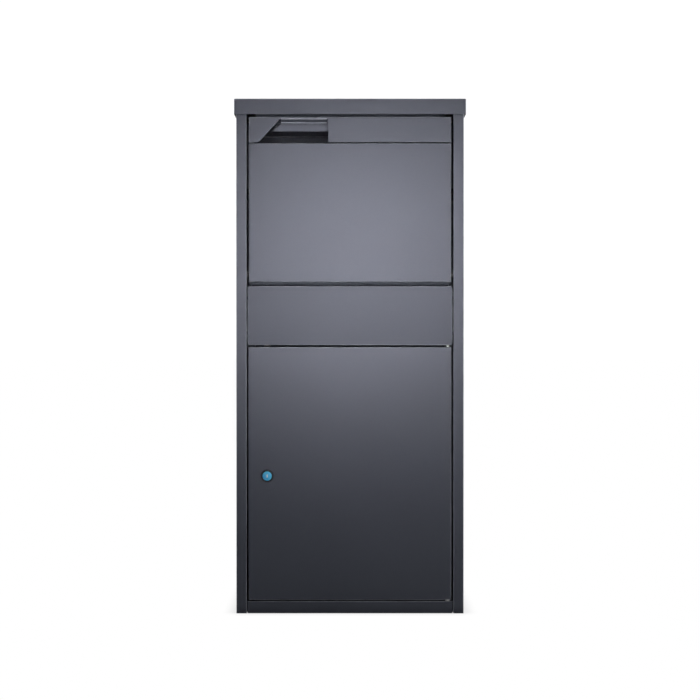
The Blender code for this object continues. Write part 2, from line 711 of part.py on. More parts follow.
def add_cheek(side, sign, pivot, material):
    """Side plate of the hatch: a sector that bars the side gap, and an arm for the tray."""
    front = SHEET + FIT_GAP - HATCH_AXIS_DEPTH
    bottom = HATCH_BOTTOM + SHEET + FIT_GAP - HATCH_AXIS_Z
    first_angle = math.acos(front / CHEEK_RADIUS)
    steps = 10
    sweep = (CHEEK_REAR_ANGLE - first_angle) / steps
    outline = [(front, bottom)]
    outline += [on_circle(CHEEK_RADIUS, first_angle + sweep * step) for step in range(steps + 1)]
    tab = [on_circle(radius, CHEEK_REAR_ANGLE) for radius in reversed(STOP_TAB_RADII)]
    outline += tab
    outline += [on_circle(CHEEK_WAIST_RADIUS, CHEEK_REAR_ANGLE)]
    outline += [tray_point(0.205, TRAY_FLANGE), tray_point(0.205, 0), tray_point(0, 0)]
    outline += [(0.005, bottom)]
    plate = [from_hatch_axis(sign * CHEEK_X, *point) for point in outline]
    root = [from_hatch_axis(sign * CHEEK_X, *point) for point in tab]
    tip = [from_hatch_axis(sign * STOP_TAB_X, *point) for point in tab]
    faces = [plate] + ribbon(root, tip)
    cheek = add_sheet(f"hatch_cheek_{side}", faces, (sign, 0, 0), pivot, material)
    start = sign * (CHEEK_X - 0.004)
    outward = (sign, 0, 0)
    places = [at(start, RIVET_DEPTH, z) for z in HATCH_RIVET_HEIGHTS.values()]
    middle = TRAY_FLANGE / 2
    places += [from_hatch_axis(start, *tray_point(u, middle)) for u in TRAY_RIVETS.values()]
    holes = [(place, outward, RIVET_HOLE, 0.008) for place in places]
    holes.append((at(start, HATCH_AXIS_DEPTH, HATCH_AXIS_Z), outward, HATCH_PIN_HOLE, 0.008))
    place, ahead = stop_pad_place(sign)
    holes.append((place - ahead * 0.005, ahead, RIVET_HOLE, 0.009))
    drill(cheek, holes)


def stop_pad_place(sign):
    """Centre of the stop pad on its tab, and the direction in which it meets the post."""
    radius = sum(STOP_TAB_RADII) / 2
    place = from_hatch_axis(sign * STOP_PAD_X, *on_circle(radius, CHEEK_REAR_ANGLE))
    ahead = Vector((0, -math.sin(CHEEK_REAR_ANGLE), math.cos(CHEEK_REAR_ANGLE)))
    return place, ahead


def add_stop_pads(pivot, rubber):
    thick = 0.006
    tail = -(SHEET + 2 * FIT_GAP + 0.0015)
    profile = [
        (0, tail),
        (RIVET_RADIUS, tail),
        (RIVET_RADIUS, FIT_GAP),
        (0.006, FIT_GAP),
        (0.006, thick - 0.001),
        (0.005, thick + FIT_GAP),
        (0, thick + FIT_GAP),
    ]
    mesh_data = turned_mesh("hatch_stop_pad", profile)
    for side, sign in SIDES.items():
        place, ahead = stop_pad_place(sign)
        place_turned(f"hatch_stop_pad_{side}", mesh_data, place, ahead, pivot, rubber)


def add_tray(pivot, material):
    """Parcel tray between the cheeks, with upturned sides and a hem at its free end."""
    flange_start = 0.005
    alongs = [0, flange_start, TRAY_LENGTH]
    left = [from_hatch_axis(-TRAY_X, *tray_point(u, 0)) for u in alongs]
    right = [from_hatch_axis(TRAY_X, *tray_point(u, 0)) for u in alongs]
    faces = ribbon(left, right)
    for edge, sign in ((left, -1), (right, 1)):
        raised = [from_hatch_axis(sign * TRAY_X, *tray_point(u, TRAY_FLANGE)) for u in alongs[1:]]
        faces += ribbon(edge[1:], raised)
    hem_end = tray_point(TRAY_LENGTH, -TRAY_HEM)
    hem = [from_hatch_axis(sign * TRAY_X, *hem_end) for sign in (-1, 1)]
    faces += ribbon([left[-1], right[-1]], hem)
    tray = add_sheet("hatch_tray", faces, (0, -1, -1), pivot, material)
    holes = []
    for sign in (-1, 1):
        for along in TRAY_RIVETS.values():
            spot = tray_point(along, TRAY_FLANGE / 2)
            start = from_hatch_axis(sign * (TRAY_X - 0.003), *spot)
            holes.append((start, (sign, 0, 0), RIVET_HOLE, 0.005))
    drill(tray, holes)


def add_hatch_fixings(pivot, steel, coated):
    """Pivot pins, and coated rivets with flush tails, since the side gaps are narrow."""
    head = 0.0065
    head_height = 0.0018
    reach = 0.208
    pin_start = CHEEK_X - SHEET - FIT_GAP
    pin_length = reach - pin_start
    pin_profile = [
        (0, -head_height),
        (head, -head_height),
        (head, 0),
        (HATCH_PIN_RADIUS, 0),
        (HATCH_PIN_RADIUS, pin_length),
        (0, pin_length),
    ]
    pin_mesh = turned_mesh("hatch_pivot_pin", pin_profile)
    panel_rivet = rivet_mesh("hatch_rivet", HATCH_X - pin_start)
    tray_start = TRAY_X - SHEET - FIT_GAP
    tray_rivet = rivet_mesh("tray_rivet", CHEEK_X - tray_start)
    for side, sign in SIDES.items():
        outward = (sign, 0, 0)
        place = at(sign * pin_start, HATCH_AXIS_DEPTH, HATCH_AXIS_Z)
        place_turned(f"hatch_pivot_pin_{side}", pin_mesh, place, outward, pivot, steel)
        for level, z in HATCH_RIVET_HEIGHTS.items():
            place = at(sign * pin_start, RIVET_DEPTH, z)
            name = f"hatch_rivet_{side}_{level}"
            place_turned(name, panel_rivet, place, outward, pivot, coated)
        for end, along in TRAY_RIVETS.items():
            spot = tray_point(along, TRAY_FLANGE / 2)
            place = from_hatch_axis(sign * tray_start, *spot)
            place_turned(f"tray_rivet_{side}_{end}", tray_rivet, place, outward, pivot, coated)


def rivet_mesh(name, grip):
    profile = [
        (0, -0.0014),
        (0.0022, -0.0014),
        (0.0036, 0),
        (RIVET_RADIUS, 0),
        (RIVET_RADIUS, grip),
        (0, grip),
    ]
    return turned_mesh(name, profile, steps=12)


def add_door(pivot, material):
    """Door pan with welded corners, and the stiffener behind its face."""
    corners = [
        at(-DOOR_X, 0, DOOR_BOTTOM),
        at(DOOR_X, 0, DOOR_BOTTOM),
        at(DOOR_X, 0, DOOR_TOP),
        at(-DOOR_X, 0, DOOR_TOP),
    ]
    loop = corners + corners[:1]
    faces = [corners] + ribbon(loop, pushed_back(loop, PANEL_RETURN))
    panel = add_sheet("door_panel", faces, (0, -1, 0), pivot, material)
    lock = at(LOCK_X, -0.002, LOCK_Z)
    holes = [(lock, (0, 1, 0), LOCK_BARREL_RADIUS + FIT_GAP, 0.006)]
    for z in (DOOR_BOTTOM - 0.002, DOOR_TOP - 0.003):
        pin = at(DOOR_AXIS_X, DOOR_AXIS_DEPTH, z)
        holes.append((pin, (0, 0, 1), DOOR_PIN_HOLE, 0.005))
    drill(panel, holes)
    behind = SHEET + FIT_GAP
    crest = 0.015
    plan = [
        (-0.035, behind),
        (-0.020, behind),
        (-0.020, crest),
        (0.020, crest),
        (0.020, behind),
        (0.035, behind),
    ]
    foot = [at(x, depth, 0.060) for x, depth in plan]
    head = [at(x, depth, 0.485) for x, depth in plan]
    add_sheet("door_stiffener", ribbon(foot, head), (0, -1, 0), pivot, material)


def add_lock_housing(pivot, chrome, steel):
    """The parts of the cam lock that stay fixed in the door."""
    face = -0.0026
    seat = -FIT_GAP
    pocket = -0.0006
    bore = 0.0066
    end = 0.020
    body = [
        (bore, pocket),
        (LOCK_DISC_RADIUS + FIT_GAP, pocket),
        (LOCK_DISC_RADIUS + FIT_GAP, face),
        (LOCK_BEZEL_RADIUS - 0.0006, face),
        (LOCK_BEZEL_RADIUS, face + 0.0008),
        (LOCK_BEZEL_RADIUS, seat),
        (LOCK_BARREL_RADIUS, seat),
        (LOCK_BARREL_RADIUS, end),
        (bore, end),
    ]
    place = at(LOCK_X, 0, LOCK_Z)
    mesh_data = turned_mesh("lock_body", body, steps=32)
    place_turned("lock_body", mesh_data, place, (0, 1, 0), pivot, chrome)
    inner = LOCK_BARREL_RADIUS + FIT_GAP
    washer_start = SHEET + FIT_GAP
    washer_end = washer_start + 0.001
    ring = [
        (inner, washer_start),
        (0.014, washer_start),
        (0.014, washer_end),
        (inner, washer_end),
    ]
    washer = turned_mesh("lock_washer", ring, steps=32)
    place_turned("lock_washer", washer, place, (0, 1, 0), pivot, steel)
    nut_start = washer_end + FIT_GAP
    spokes = [math.radians(60 * corner) for corner in range(6)]
    across = 0.0138
    outline = [
        at(LOCK_X + across * math.cos(a), nut_start, LOCK_Z + across * math.sin(a)) for a in spokes
    ]
    nut = add_prism("lock_nut", outline, (0, 1, 0), 0.005, pivot, steel)
    drill(nut, [(at(LOCK_X, 0, LOCK_Z), (0, 1, 0), inner, 0.012)])


def add_lock_plug(pivot, chrome, blue, steel):
    """The parts of the cam lock that turn with the key."""
    head_front = -0.0019
    head_back = -0.0009
    neck = 0.022
    tip = CAM_DEPTHS[1] + FIT_GAP
    screw_bore = 0.0018
    bore_floor = 0.016
    profile = [
        (0, head_front),
        (LOCK_DISC_RADIUS, head_front),
        (LOCK_DISC_RADIUS, head_back),
        (0.0063, head_back),
        (0.0063, neck),
        (0.0040, neck),
        (0.0040, tip),
        (screw_bore, tip),
        (screw_bore, bore_floor),
        (0, bore_floor),
    ]
    place = at(LOCK_X, 0, LOCK_Z)
    plug = place_turned(
        "lock_plug", turned_mesh("lock_plug", profile, steps=32), place, (0, 1, 0), pivot, chrome
    )
    disc_front = -0.0029
    disc_back = head_front - FIT_GAP
    disc_profile = [
        (0, disc_front),
        (LOCK_DISC_RADIUS - 0.0003, disc_front),
        (LOCK_DISC_RADIUS, disc_front + 0.0003),
        (LOCK_DISC_RADIUS, disc_back),
        (0, disc_back),
    ]
    disc_mesh = turned_mesh("lock_face_disc", disc_profile, steps=32)
    disc = place_turned("lock_face_disc", disc_mesh, place, (0, 1, 0), pivot, blue)
    half_width = 0.0009
    half_height = 0.0042
    corners = [(-1, -1), (1, -1), (1, 1), (-1, 1)]
    slot = [at(LOCK_X + half_width * a, -0.004, LOCK_Z + half_height * b) for a, b in corners]
    keyway = hide_helper(add_prism("keyway", slot, (0, 1, 0), 0.012, None, None))
    combine(plug, keyway)
    combine(disc, keyway)
    add_cam(pivot, steel)
    head_start = CAM_DEPTHS[1] + 2 * FIT_GAP
    screw = [
        (0, head_start - 0.009),
        (screw_bore - FIT_GAP, head_start - 0.009),
        (screw_bore - FIT_GAP, head_start),
        (0.0055, head_start),
        (0.0055, head_start + 0.0012),
        (0.0035, head_start + 0.0026),
        (0, head_start + 0.0026),
    ]
    mesh_data = turned_mesh("lock_cam_screw", screw)
    place_turned("lock_cam_screw", mesh_data, place, (0, 1, 0), pivot, steel)


def add_cam(pivot, material):
    """Locking cam: points down when unlocked and hooks behind the left post when locked."""
    half = CAM_WIDTH / 2
    turns = [math.radians(15 * step) for step in range(13)]
    outline = [(half * math.cos(a), half * math.sin(a)) for a in turns]
    outline += [(-half, 0.004 - CAM_LENGTH), (0.004 - half, -CAM_LENGTH)]
    outline += [(half - 0.004, -CAM_LENGTH), (half, 0.004 - CAM_LENGTH)]
    points = [at(LOCK_X + x, CAM_DEPTHS[0], LOCK_Z + z) for x, z in outline]
    thick = CAM_DEPTHS[1] - CAM_DEPTHS[0]
    cam = add_prism("lock_cam", points, (0, 1, 0), thick, pivot, material)
    drill(cam, [(at(LOCK_X, 0.020, LOCK_Z), (0, 1, 0), 0.0043, 0.010)])


def main():
    clear_scene()
    powder = make_material("anthracite_powder_coat", (0.070, 0.072, 0.082), 0.48, 0.0)
    zinc = make_material("zinc_plated_steel", (0.56, 0.57, 0.58), 0.35, 1.0)
    chrome = make_material("chromed_zamak", (0.72, 0.72, 0.73), 0.14, 1.0)
    blue = make_material("blue_lock_disc", (0.060, 0.300, 0.520), 0.30, 0.0)
    blackened = make_material("blackened_steel", (0.085, 0.085, 0.090), 0.42, 1.0)
    nylon = make_material("dark_nylon", (0.065, 0.066, 0.072), 0.50, 0.0)
    rubber = make_material("black_rubber", (0.020, 0.020, 0.021), 0.80, 0.0)

    cabinet = make_pivot("cabinet_origin", (0, 0, 0))
    hatch = make_pivot("hatch_hinge", at(0, HATCH_AXIS_DEPTH, HATCH_AXIS_Z), cabinet)
    door = make_pivot("door_hinge", at(DOOR_AXIS_X, DOOR_AXIS_DEPTH, 0), cabinet)
    lock = make_pivot("lock_spindle", at(LOCK_X, 0, LOCK_Z), door)

    for side, sign in SIDES.items():
        add_side_panel(side, sign, cabinet, powder)
        add_cheek(side, sign, hatch, powder)
    add_back_panel(cabinet, powder)
    add_floor_pan(cabinet, powder)
    add_roof(cabinet, powder, zinc)
    add_header_rail(cabinet, powder, rubber)
    add_middle_panel(cabinet, powder)
    add_middle_rivets(cabinet, powder)
    add_rear_guard(cabinet, powder)
    add_hatch_bushes(cabinet, nylon)
    add_door_pivots(cabinet, zinc, nylon)

    add_hatch_panel(hatch, powder)
    add_handle_strip(hatch, powder)
    add_grip_plate(hatch, powder)
    add_tray(hatch, powder)
    add_hatch_fixings(hatch, blackened, powder)
    add_stop_pads(hatch, rubber)

    add_door(door, powder)
    add_lock_housing(door, chrome, zinc)
    add_lock_plug(lock, chrome, blue, zinc)


main()
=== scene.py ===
import json
import math

import bmesh
import bpy
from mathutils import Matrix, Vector


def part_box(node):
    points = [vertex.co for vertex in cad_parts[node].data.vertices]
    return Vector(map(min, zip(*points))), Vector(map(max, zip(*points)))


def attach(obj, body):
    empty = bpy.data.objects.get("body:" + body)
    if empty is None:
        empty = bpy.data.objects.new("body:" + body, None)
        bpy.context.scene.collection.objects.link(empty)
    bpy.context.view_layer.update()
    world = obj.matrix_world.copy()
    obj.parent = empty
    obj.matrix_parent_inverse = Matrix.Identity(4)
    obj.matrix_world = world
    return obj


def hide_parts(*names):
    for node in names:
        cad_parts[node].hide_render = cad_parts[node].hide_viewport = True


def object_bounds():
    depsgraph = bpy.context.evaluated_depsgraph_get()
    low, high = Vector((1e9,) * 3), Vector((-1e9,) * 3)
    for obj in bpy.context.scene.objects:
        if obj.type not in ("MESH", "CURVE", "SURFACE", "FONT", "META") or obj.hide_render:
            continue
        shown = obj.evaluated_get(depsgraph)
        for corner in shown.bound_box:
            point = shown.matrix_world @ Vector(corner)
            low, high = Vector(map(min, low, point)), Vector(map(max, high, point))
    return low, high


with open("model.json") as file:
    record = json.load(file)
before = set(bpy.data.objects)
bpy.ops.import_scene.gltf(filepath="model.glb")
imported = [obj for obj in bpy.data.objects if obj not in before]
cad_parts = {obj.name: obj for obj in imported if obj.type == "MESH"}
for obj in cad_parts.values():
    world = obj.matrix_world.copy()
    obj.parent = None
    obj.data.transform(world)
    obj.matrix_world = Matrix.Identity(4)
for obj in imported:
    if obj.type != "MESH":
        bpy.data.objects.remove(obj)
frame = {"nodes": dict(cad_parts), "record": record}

CAD_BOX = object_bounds()

# Sheet metal shape: lengths in metres, areas in square metres
FOLD_RADIUS = 0.0012
INNER_FOLD_RADIUS = 0.0006
FOLD_STEPS = 5
FOLD_ANGLE = math.radians(30)
FLAT_ANGLE = math.radians(0.3)
SHARP_ANGLE = math.radians(40)
MERGE_ANGLE = math.radians(0.6)
RIM_SLENDERNESS = 0.0010
SMALL_FACE = 60e-6
WELD_DISTANCE = 0.00002
LEVEL_TOLERANCE = WELD_DISTANCE / 4
SAME_POINT = 1e-7

# Powder coat
COAT_ROUGHNESS = 0.43
DOOR_COAT_ROUGHNESS = 0.395
MIDDLE_COAT_ROUGHNESS = 0.455
# Bluish tint on the coat's reflections, standing in for the cool colour of the studio light: painted
# light
COAT_SPECULAR_TINT = (0.83, 0.84, 1.0, 1.0)
# Paler colour for the fold faces: a painted highlight along the folds
FOLD_HIGHLIGHT_COLOUR = (0.170, 0.178, 0.200)
# Painted shade in hollows: ambient occlusion over this reach turns the coat's specular level down
HOLLOW_REACH = 0.035
HOLLOW_SAMPLES = 8
HOLLOW_OPENNESS = (0.45, 0.75)
HOLLOW_SHEEN = (0.04, 0.50)

SHEETS = (
    "left_side_panel",
    "right_side_panel",
    "back_panel",
    "floor_pan",
    "roof_cap",
    "header_rail",
    "middle_panel",
    "rear_guard_plate",
    "hatch_panel",
    "hatch_handle_strip",
    "hatch_grip_plate",
    "hatch_cheek_left",
    "hatch_cheek_right",
    "hatch_tray",
    "door_panel",
    "door_stiffener",
)
NUTS_AND_CAM = (
    "roof_nut_front_left",
    "roof_nut_front_right",
    "roof_nut_rear_left",
    "roof_nut_rear_right",
    "lock_nut",
    "lock_cam",
)
LOCK_FACE = ("lock_face_disc", "lock_plug")

# Turned and other solid parts, in metres
SOLID_EDGE_RADIUS = 0.0003
TURNED_EDGE_RADIUS = 0.00025
TURNED_STEPS = 64
LEAST_RING = 8
SOFT_STEPS = 3
SOFT_ANGLE = math.radians(30)

# Keyway and dust shutter of the lock. Depths are measured from the disc's face.
KEYWAY_HALF_WIDTH = 0.0012
KEYWAY_HALF_HEIGHT = 0.0032
KEYWAY_LEAD = 0.001
KEYWAY_DEPTH = 0.010
KEYWAY_ARC_STEPS = 12
SHUTTER_CLEARANCE = 0.0001
SHUTTER_RECESS = 0.0002
SHUTTER_DEPTH = 0.004
SHUTTER_EDGE_RADIUS = 0.0002

# Studio light: each softbox's name, place, aim, width, height, power in watts and spread in degrees
SOFTBOXES = (
    ("front_grid", (0.0, -2.4, 0.72), (0.0, -0.17, 0.72), 0.6, 0.4, 1.02, 45),
    ("front_narrow", (0.0, -2.4, 0.85), (0.0, -0.17, 0.75), 0.4, 0.3, 0.64, 28),
    ("front_right", (1.1, -2.2, 0.9), (0.12, -0.17, 0.62), 0.6, 0.8, 1.5, 60),
    ("low_right", (0.9, -2.2, 0.25), (0.15, -0.17, 0.20), 0.6, 0.5, 0.06, 60),
    ("front_top", (0.0, -1.3, 2.7), (0.0, -0.17, 0.7), 1.8, 0.4, 2.0, 120),
    ("left_strip", (-2.4, -1.1, 0.8), (-0.2, -0.17, 0.6), 0.6, 1.6, 3.0, 120),
    ("right_strip", (2.4, -1.1, 0.8), (0.2, -0.17, 0.6), 0.6, 1.6, 6.0, 120),
    ("overhead", (0.0, 0.2, 2.6), (0.0, 0.0, 0.5), 2.2, 1.4, 22.0, 180),
    ("right_side", (2.6, 0.5, 1.3), (0.0, 0.0, 0.5), 1.6, 1.6, 30.0, 180),
    ("left_side", (-2.6, 0.5, 1.3), (0.0, 0.0, 0.5), 1.6, 1.6, 20.0, 180),
    ("back", (-0.4, 2.8, 1.5), (0.0, 0.0, 0.6), 1.8, 1.4, 40.0, 180),
)
SURROUND_FRONT = 0.01
SURROUND_SIDES = 0.25
SURROUND_FADE = (-0.35, 0.10)
SURROUND_WHITE = 1.05
FLOOR_SIZE = 40.0
FLOOR_DROP = 0.0002
# Painted contact shadow on the floor: ambient occlusion over this reach darkens the floor's glow near
# the box
CONTACT_REACH = 0.03
CONTACT_SAMPLES = 16
CONTACT_OPENNESS = (0.35, 0.98)
CONTACT_TONE = (0.72, 1.0)

CAMERA_LENS = 85.0
CAMERA_SENSOR = 36.0
CAMERA_TILT = math.radians(0.4)
CAMERA_DISTANCE = 3.208
CAMERA_AIM_SHARE = 0.5125

BODY_OF = {
    node: body
    for body, nodes in frame["record"]["behaviour"]["bodies"].items()
    for node in nodes
}
SLOT_OF = {part["node"]: part["material_slot"] for part in frame["record"]["subparts"]}


# ---------------------------------------------------------------- materials


def new_material(name):
    material = bpy.data.materials.new(name)
    material.use_nodes = True
    nodes = material.node_tree.nodes
    shader = nodes["Principled BSDF"]
    place = nodes.new("ShaderNodeTexCoord").outputs["Object"]
    return material, material.node_tree, shader, place


def add_noise(tree, place, scale, detail=2.0, roughness=0.5, stretch=None):
    """Noise over the object's own metres. The scale is in features per metre."""
    if stretch:
        mapping = tree.nodes.new("ShaderNodeMapping")
        mapping.inputs["Scale"].default_value = stretch
        tree.links.new(place, mapping.inputs["Vector"])
        place = mapping.outputs["Vector"]
    noise = tree.nodes.new("ShaderNodeTexNoise")
    noise.inputs["Scale"].default_value = scale
    noise.inputs["Detail"].default_value = detail
    noise.inputs["Roughness"].default_value = roughness
    tree.links.new(place, noise.inputs["Vector"])
    return noise.outputs["Fac"]


def add_range(tree, value, low, high, new_low, new_high):
    node = tree.nodes.new("ShaderNodeMapRange")
    for name, number in (
        ("From Min", low),
        ("From Max", high),
        ("To Min", new_low),
        ("To Max", new_high),
    ):
        node.inputs[name].default_value = number
    tree.links.new(value, node.inputs["Value"])
    return node.outputs["Result"]


def add_mix(tree, factor, first, second):
    """Mixes two colours, each a tuple or a socket."""
    node = tree.nodes.new("ShaderNodeMix")
    node.data_type = "RGBA"
    tree.links.new(factor, node.inputs["Factor"])
    for socket, colour in ((node.inputs[6], first), (node.inputs[7], second)):
        if isinstance(colour, tuple):
            socket.default_value = (*colour, 1.0)
        else:
            tree.links.new(colour, socket)
    return node.outputs[2]


def add_bump(tree, height, distance, strength=1.0, normal=None):
    node = tree.nodes.new("ShaderNodeBump")
    node.inputs["Distance"].default_value = distance
    node.inputs["Strength"].default_value = strength
    tree.links.new(height, node.inputs["Height"])
    if normal:
        tree.links.new(normal, node.inputs["Normal"])
    return node.outputs["Normal"]


def powder_coat(name, roughness=COAT_ROUGHNESS, pale_folds=False):
    """Anthracite polyester powder with a fine matt grain; in narrow hollows its specular level is turned
    down as painted shade.

    The kind for the folds is paler in patches, a painted highlight that stands in for light caught on
    the folds.
    """
    material, tree, shader, place = new_material(name)
    clouds = add_range(tree, add_noise(tree, place, 7.0, 3.0), 0.3, 0.7, 0.0, 1.0)
    grain = add_noise(tree, place, 1500.0, 3.0, 0.6)
    speckle = add_range(tree, grain, 0.35, 0.70, 0.0, 1.0)
    base = add_mix(tree, clouds, (0.0250, 0.0285, 0.0370), (0.0290, 0.0330, 0.0425))
    flecked = add_mix(tree, speckle, base, (0.0370, 0.0405, 0.0500))
    # Painted highlight: the fold faces are made paler in patches, standing in for light caught on the
    # folds.
    if pale_folds:
        fold_highlight_patches = add_range(tree, add_noise(tree, place, 55.0, 4.0, 0.6), 0.30, 0.60, 0.35, 1.0)
        flecked = add_mix(tree, fold_highlight_patches, flecked, FOLD_HIGHLIGHT_COLOUR)
    tree.links.new(flecked, shader.inputs["Base Color"])
    fine = add_range(tree, grain, 0.3, 0.7, -0.04, 0.04)
    patches = add_range(tree, add_noise(tree, place, 170.0, 2.0, 0.6), 0.3, 0.7, -0.02, 0.02)
    uneven = tree.nodes.new("ShaderNodeMath")
    tree.links.new(fine, uneven.inputs[0])
    tree.links.new(patches, uneven.inputs[1])
    rough = tree.nodes.new("ShaderNodeMath")
    rough.inputs[1].default_value = roughness
    tree.links.new(uneven.outputs["Value"], rough.inputs[0])
    tree.links.new(rough.outputs["Value"], shader.inputs["Roughness"])
    flow = add_noise(tree, place, 420.0, 2.0)
    leveling = add_bump(tree, flow, 0.00006, 0.35)
    tree.links.new(add_bump(tree, grain, 0.00004, 0.55, leveling), shader.inputs["Normal"])
    # Painted light: the reflections are tinted bluish in place of a cool light.
    shader.inputs["Specular Tint"].default_value = COAT_SPECULAR_TINT
    # Painted shade: ambient occlusion turns the coat's specular level down in narrow hollows and gaps.
    hollow = tree.nodes.new("ShaderNodeAmbientOcclusion")
    hollow.samples = HOLLOW_SAMPLES
    hollow.inputs["Distance"].default_value = HOLLOW_REACH
    hollow_shade_level = add_range(tree, hollow.outputs["AO"], *HOLLOW_OPENNESS, *HOLLOW_SHEEN)
    tree.links.new(hollow_shade_level, shader.inputs["Specular IOR Level"])
    return material


def zinc_plate():
    """Bright zinc: pale metal with a fine crystalline cloud and turning marks."""
    material, tree, shader, place = new_material("zinc_plated_steel")
    cloud = add_noise(tree, place, 260.0, 4.0, 0.65)
    tint = add_range(tree, cloud, 0.35, 0.65, 0.0, 1.0)
    colour = add_mix(tree, tint, (0.50, 0.51, 0.53), (0.72, 0.72, 0.70))
    tree.links.new(colour, shader.inputs["Base Color"])
    shader.inputs["Metallic"].default_value = 1.0
    tree.links.new(add_range(tree, cloud, 0.3, 0.7, 0.24, 0.42), shader.inputs["Roughness"])
    fine = add_noise(tree, place, 2600.0, 2.0)
    tree.links.new(add_bump(tree, fine, 0.00001, 0.5), shader.inputs["Normal"])
    return material


def blackened_steel():
    """Steel under a thin black oxide, patchy and slightly oily."""
    material, tree, shader, place = new_material("blackened_steel")
    patches = add_noise(tree, place, 300.0, 4.0, 0.6)
    colour = add_mix(tree, patches, (0.050, 0.050, 0.054), (0.115, 0.113, 0.112))
    tree.links.new(colour, shader.inputs["Base Color"])
    shader.inputs["Metallic"].default_value = 1.0
    tree.links.new(add_range(tree, patches, 0.3, 0.7, 0.34, 0.52), shader.inputs["Roughness"])
    fine = add_noise(tree, place, 2400.0, 2.0)
    tree.links.new(add_bump(tree, fine, 0.00001, 0.5), shader.inputs["Normal"])
    return material


def polished_chrome():
    """Dark chrome on a zinc die casting, with hairline polishing marks."""
    material, tree, shader, place = new_material("polished_chrome")
    hairs = add_noise(tree, place, 900.0, 3.0, 0.6, stretch=(1.0, 1.0, 9.0))
    haze = add_noise(tree, place, 240.0, 2.0)
    colour = add_mix(tree, haze, (0.100, 0.102, 0.108), (0.150, 0.150, 0.152))
    tree.links.new(colour, shader.inputs["Base Color"])
    shader.inputs["Metallic"].default_value = 1.0
    tree.links.new(add_range(tree, hairs, 0.3, 0.7, 0.03, 0.08), shader.inputs["Roughness"])
    tree.links.new(add_bump(tree, hairs, 0.000004, 0.5), shader.inputs["Normal"])
    return material


def blue_disc():
    """Glossy blue face of the lock, with a painted highlight: lighter towards its upper right, where the
    light falls.
    """
    material, tree, shader, place = new_material("blue_lock_face")
    low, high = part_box("lock_face_disc")
    centre = (low + high) / 2
    span = tree.nodes.new("ShaderNodeVectorMath")
    span.operation = "DOT_PRODUCT"
    shift = tree.nodes.new("ShaderNodeVectorMath")
    shift.operation = "SUBTRACT"
    shift.inputs[1].default_value = centre
    tree.links.new(place, shift.inputs[0])
    tree.links.new(shift.outputs["Vector"], span.inputs[0])
    # Painted highlight: the colour ramps from darker blue at the lower left to lighter blue at the upper
    # right.
    span.inputs[1].default_value = (0.75, 0.0, 0.66)
    radius = (high.x - low.x) / 2
    painted_highlight_ramp = add_range(tree, span.outputs["Value"], -radius, radius, 0.0, 1.0)
    colour = add_mix(tree, painted_highlight_ramp, (0.020, 0.240, 0.480), (0.085, 0.470, 0.730))
    tree.links.new(colour, shader.inputs["Base Color"])
    fine = add_noise(tree, place, 700.0, 2.0)
    tree.links.new(add_range(tree, fine, 0.3, 0.7, 0.20, 0.32), shader.inputs["Roughness"])
    tree.links.new(add_bump(tree, fine, 0.00001, 0.3), shader.inputs["Normal"])
    shader.inputs["Coat Weight"].default_value = 0.35
    return material


def moulded_nylon(name, dark, pale):
    """Unpainted nylon, slightly translucent, with a fine moulded grain."""
    material, tree, shader, place = new_material(name)
    cloud = add_noise(tree, place, 180.0, 3.0)
    colour = add_mix(tree, cloud, dark, pale)
    tree.links.new(colour, shader.inputs["Base Color"])
    tree.links.new(add_range(tree, cloud, 0.3, 0.7, 0.38, 0.52), shader.inputs["Roughness"])
    shader.inputs["Subsurface Weight"].default_value = 0.15
    shader.inputs["Subsurface Radius"].default_value = (0.001, 0.001, 0.001)
    grain = add_noise(tree, place, 1800.0, 2.0)
    tree.links.new(add_bump(tree, grain, 0.00002, 0.3), shader.inputs["Normal"])
    return material


def black_rubber():
    """Moulded rubber with a dusty, uneven bloom."""
    material, tree, shader, place = new_material("moulded_rubber")
    bloom = add_noise(tree, place, 320.0, 4.0, 0.6)
    colour = add_mix(tree, bloom, (0.012, 0.012, 0.013), (0.034, 0.034, 0.035))
    tree.links.new(colour, shader.inputs["Base Color"])
    tree.links.new(add_range(tree, bloom, 0.3, 0.7, 0.62, 0.86), shader.inputs["Roughness"])
    grain = add_noise(tree, place, 2200.0, 2.0)
    tree.links.new(add_bump(tree, grain, 0.00003, 0.5), shader.inputs["Normal"])
    return material


LOOKS = {
    "powder_coat": powder_coat("powder_coat_anthracite"),
    "zinc": zinc_plate(),
    "blackened": blackened_steel(),
    "chrome": polished_chrome(),
    "lock_disc": blue_disc(),
    "nylon": moulded_nylon("dark_nylon", (0.050, 0.051, 0.056), (0.085, 0.086, 0.092)),
    "shutter": moulded_nylon("shutter_nylon", (0.50, 0.44, 0.36), (0.68, 0.62, 0.54)),
    "rubber": black_rubber(),
}
# Coat for the fold faces, paler as a painted highlight
FOLD_HIGHLIGHT_COAT = powder_coat("powder_coat_on_folds", pale_folds=True)
PANEL_COATS = {
    "door_panel": powder_coat("powder_coat_of_door", roughness=DOOR_COAT_ROUGHNESS),
    "middle_panel": powder_coat("powder_coat_of_middle_panel", roughness=MIDDLE_COAT_ROUGHNESS),
}


# ---------------------------------------------------------------- mesh helpers


def finished_mesh(work, name):
    """Turns a bmesh into a named mesh and frees it."""
    mesh_data = bpy.data.meshes.new(name)
    work.to_mesh(mesh_data)
    work.free()
    return mesh_data


def linked_object(name, data):
    """A new object for the data, linked to the scene."""
    item = bpy.data.objects.new(name, data)
    bpy.context.scene.collection.objects.link(item)
    return item


def merged_copy(node):
    """The CAD node's solid as a bmesh with shared corners and flat faces joined up again."""
    work = bmesh.new()
    work.from_mesh(frame["nodes"][node].data)
    bmesh.ops.remove_doubles(work, verts=work.verts, dist=WELD_DISTANCE)
    bmesh.ops.dissolve_limit(
        work,
        angle_limit=MERGE_ANGLE,
        verts=work.verts,
        edges=work.edges,
        use_dissolve_boundaries=False,
    )
    return work


